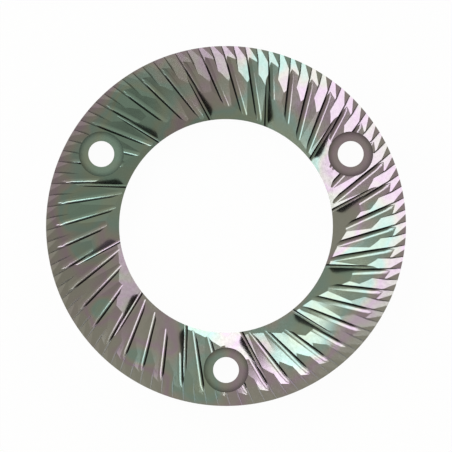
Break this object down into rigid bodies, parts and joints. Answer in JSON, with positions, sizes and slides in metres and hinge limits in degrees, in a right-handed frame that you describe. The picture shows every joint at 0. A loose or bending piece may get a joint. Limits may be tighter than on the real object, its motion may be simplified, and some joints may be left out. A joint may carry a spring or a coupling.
{
  "type": "coffee grinder burr",
  "caption": "Flat steel ring with a cut grinding face: deep feed grooves at the bore, coarse teeth, fine teeth at the rim and sunk screw holes.",
  "frame": {"origin": "centre of the back face, on the axis of the bore", "axes": "+Z along the axis of the bore, from the back face to the cutting face; -Y passes through one of the screw holes"},
  "size_m": [0.064, 0.064, 0.009],
  "materials": {
    "steel": "hardened tool steel, ground and cut, with a thin glossy coating that shines in faint colours"
  },
  "bodies": {
    "root": {"burr_ring": "steel"}
  },
  "joints": []
}
